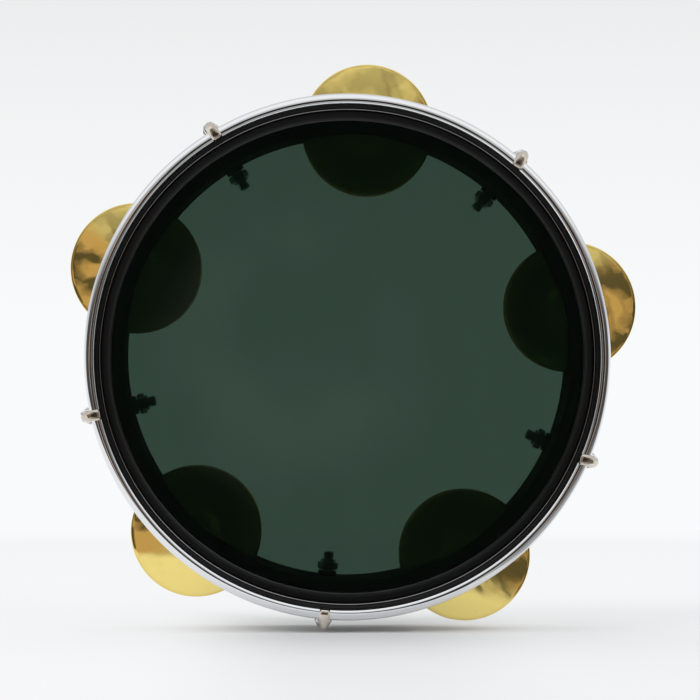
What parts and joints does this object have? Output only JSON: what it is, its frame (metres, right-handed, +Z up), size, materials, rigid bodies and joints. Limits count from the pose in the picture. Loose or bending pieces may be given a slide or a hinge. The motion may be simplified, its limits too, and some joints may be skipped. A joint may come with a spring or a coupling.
{
  "type": "riq frame drum",
  "caption": "Small frame drum with a tuned film head, brass jingle pairs in slits round its black shell, and hook-bolt tensioning; stands on its edge.",
  "frame": {"origin": "on the floor under the middle of the drum's box, the drum standing on its edge", "axes": "+Y along the drum's axis from the head to the open back, +Z up, +X to the right seen from the head"},
  "size_m": [0.2556, 0.063, 0.2557],
  "materials": {
    "lacquered_wood": "black satin lacquer",
    "film": "dark translucent film, glossy",
    "hoop_aluminium": "drawn aluminium",
    "rim_chrome": "polished chrome",
    "hook_nickel": "bright nickel",
    "lug_chrome": "polished chrome",
    "nut_nickel": "bright nickel",
    "screw_zinc": "bright zinc",
    "pin_steel": "plain bright steel",
    "brass": "polished brass"
  },
  "bodies": {
    "drum": {"shell": "lacquered_wood", "head_film": "film", "lug_1": "lug_chrome", "lug_2": "lug_chrome", "lug_3": "lug_chrome", "lug_4": "lug_chrome", "lug_5": "lug_chrome", "lug_screw_1": "screw_zinc", "lug_screw_2": "screw_zinc", "lug_screw_3": "screw_zinc", "lug_screw_4": "screw_zinc", "lug_screw_5": "screw_zinc", "saddle_washer_1": "screw_zinc", "saddle_washer_2": "screw_zinc", "saddle_washer_3": "screw_zinc", "saddle_washer_4": "screw_zinc", "saddle_washer_5": "screw_zinc", "lock_nut_1": "screw_zinc", "lock_nut_2": "screw_zinc", "lock_nut_3": "screw_zinc", "lock_nut_4": "screw_zinc", "lock_nut_5": "screw_zinc", "jingle_pin_1": "pin_steel", "jingle_pin_2": "pin_steel", "jingle_pin_3": "pin_steel", "jingle_pin_4": "pin_steel", "jingle_pin_5": "pin_steel"},
    "tension_rim": {"counterhoop": "rim_chrome", "flesh_hoop": "hoop_aluminium", "hook_1": "hook_nickel", "hook_2": "hook_nickel", "hook_3": "hook_nickel", "hook_4": "hook_nickel", "hook_5": "hook_nickel"},
    "tuning_nut_1": {"tuning_nut_1": "nut_nickel"},
    "tuning_nut_2": {"tuning_nut_2": "nut_nickel"},
    "tuning_nut_3": {"tuning_nut_3": "nut_nickel"},
    "tuning_nut_4": {"tuning_nut_4": "nut_nickel"},
    "tuning_nut_5": {"tuning_nut_5": "nut_nickel"},
    "jingle_1_a": {"jingle_1_a": "brass"},
    "jingle_1_b": {"jingle_1_b": "brass"},
    "jingle_1_c": {"jingle_1_c": "brass"},
    "jingle_1_d": {"jingle_1_d": "brass"},
    "jingle_2_a": {"jingle_2_a": "brass"},
    "jingle_2_b": {"jingle_2_b": "brass"},
    "jingle_2_c": {"jingle_2_c": "brass"},
    "jingle_2_d": {"jingle_2_d": "brass"},
    "jingle_3_a": {"jingle_3_a": "brass"},
    "jingle_3_b": {"jingle_3_b": "brass"},
    "jingle_3_c": {"jingle_3_c": "brass"},
    "jingle_3_d": {"jingle_3_d": "brass"},
    "jingle_4_a": {"jingle_4_a": "brass"},
    "jingle_4_b": {"jingle_4_b": "brass"},
    "jingle_4_c": {"jingle_4_c": "brass"},
    "jingle_4_d": {"jingle_4_d": "brass"},
    "jingle_5_a": {"jingle_5_a": "brass"},
    "jingle_5_b": {"jingle_5_b": "brass"},
    "jingle_5_c": {"jingle_5_c": "brass"},
    "jingle_5_d": {"jingle_5_d": "brass"}
  },
  "joints": [
    {"name": "rim_slide", "type": "slide", "parent": "drum", "child": "tension_rim", "axis": [0, 1, 0], "range_m": [-0.0012, 0.0008]},
    {"name": "nut_1_turn", "type": "hinge", "parent": "drum", "child": "tuning_nut_1", "pos_m": [0.0763, 0.00688, 0.21439], "axis": [0, 1, 0], "range_deg": [-412, 618]},
    {"name": "nut_2_turn", "type": "hinge", "parent": "drum", "child": "tuning_nut_2", "pos_m": [-0.06468, 0.00688, 0.22697], "axis": [0, 1, 0], "range_deg": [-412, 618]},
    {"name": "nut_3_turn", "type": "hinge", "parent": "drum", "child": "tuning_nut_3", "pos_m": [-0.12021, 0.00688, 0.09678], "axis": [0, 1, 0], "range_deg": [-412, 618]},
    {"name": "nut_4_turn", "type": "hinge", "parent": "drum", "child": "tuning_nut_4", "pos_m": [-0.01355, 0.00688, 0.00374], "axis": [0, 1, 0], "range_deg": [-412, 618]},
    {"name": "nut_5_turn", "type": "hinge", "parent": "drum", "child": "tuning_nut_5", "pos_m": [0.1079, 0.00688, 0.07642], "axis": [0, 1, 0], "range_deg": [-412, 618]},
    {"name": "jingle_1_a_slide", "type": "slide", "parent": "drum", "child": "jingle_1_a", "axis": [0, 1, 0], "range_m": [-0.001, 0.00135]},
    {"name": "jingle_1_b_slide", "type": "slide", "parent": "drum", "child": "jingle_1_b", "axis": [0, 1, 0], "range_m": [-0.00135, 0.001]},
    {"name": "jingle_1_c_slide", "type": "slide", "parent": "drum", "child": "jingle_1_c", "axis": [0, 1, 0], "range_m": [-0.001, 0.00135]},
    {"name": "jingle_1_d_slide", "type": "slide", "parent": "drum", "child": "jingle_1_d", "axis": [0, 1, 0], "range_m": [-0.00135, 0.001]},
    {"name": "jingle_2_a_slide", "type": "slide", "parent": "drum", "child": "jingle_2_a", "axis": [0, 1, 0], "range_m": [-0.001, 0.00135]},
    {"name": "jingle_2_b_slide", "type": "slide", "parent": "drum", "child": "jingle_2_b", "axis": [0, 1, 0], "range_m": [-0.00135, 0.001]},
    {"name": "jingle_2_c_slide", "type": "slide", "parent": "drum", "child": "jingle_2_c", "axis": [0, 1, 0], "range_m": [-0.001, 0.00135]},
    {"name": "jingle_2_d_slide", "type": "slide", "parent": "drum", "child": "jingle_2_d", "axis": [0, 1, 0], "range_m": [-0.00135, 0.001]},
    {"name": "jingle_3_a_slide", "type": "slide", "parent": "drum", "child": "jingle_3_a", "axis": [0, 1, 0], "range_m": [-0.001, 0.00135]},
    {"name": "jingle_3_b_slide", "type": "slide", "parent": "drum", "child": "jingle_3_b", "axis": [0, 1, 0], "range_m": [-0.00135, 0.001]},
    {"name": "jingle_3_c_slide", "type": "slide", "parent": "drum", "child": "jingle_3_c", "axis": [0, 1, 0], "range_m": [-0.001, 0.00135]},
    {"name": "jingle_3_d_slide", "type": "slide", "parent": "drum", "child": "jingle_3_d", "axis": [0, 1, 0], "range_m": [-0.00135, 0.001]},
    {"name": "jingle_4_a_slide", "type": "slide", "parent": "drum", "child": "jingle_4_a", "axis": [0, 1, 0], "range_m": [-0.001, 0.00135]},
    {"name": "jingle_4_b_slide", "type": "slide", "parent": "drum", "child": "jingle_4_b", "axis": [0, 1, 0], "range_m": [-0.00135, 0.001]},
    {"name": "jingle_4_c_slide", "type": "slide", "parent": "drum", "child": "jingle_4_c", "axis": [0, 1, 0], "range_m": [-0.001, 0.00135]},
    {"name": "jingle_4_d_slide", "type": "slide", "parent": "drum", "child": "jingle_4_d", "axis": [0, 1, 0], "range_m": [-0.00135, 0.001]},
    {"name": "jingle_5_a_slide", "type": "slide", "parent": "drum", "child": "jingle_5_a", "axis": [0, 1, 0], "range_m": [-0.001, 0.00135]},
    {"name": "jingle_5_b_slide", "type": "slide", "parent": "drum", "child": "jingle_5_b", "axis": [0, 1, 0], "range_m": [-0.00135, 0.001]},
    {"name": "jingle_5_c_slide", "type": "slide", "parent": "drum", "child": "jingle_5_c", "axis": [0, 1, 0], "range_m": [-0.001, 0.00135]},
    {"name": "jingle_5_d_slide", "type": "slide", "parent": "drum", "child": "jingle_5_d", "axis": [0, 1, 0], "range_m": [-0.00135, 0.001]}
  ],
  "couplings": [
    {"joint": "nut_1_turn", "follows": "rim_slide", "rad_per_m": -8976},
    {"joint": "nut_2_turn", "follows": "rim_slide", "rad_per_m": -8976},
    {"joint": "nut_3_turn", "follows": "rim_slide", "rad_per_m": -8976},
    {"joint": "nut_4_turn", "follows": "rim_slide", "rad_per_m": -8976},
    {"joint": "nut_5_turn", "follows": "rim_slide", "rad_per_m": -8976}
  ]
}
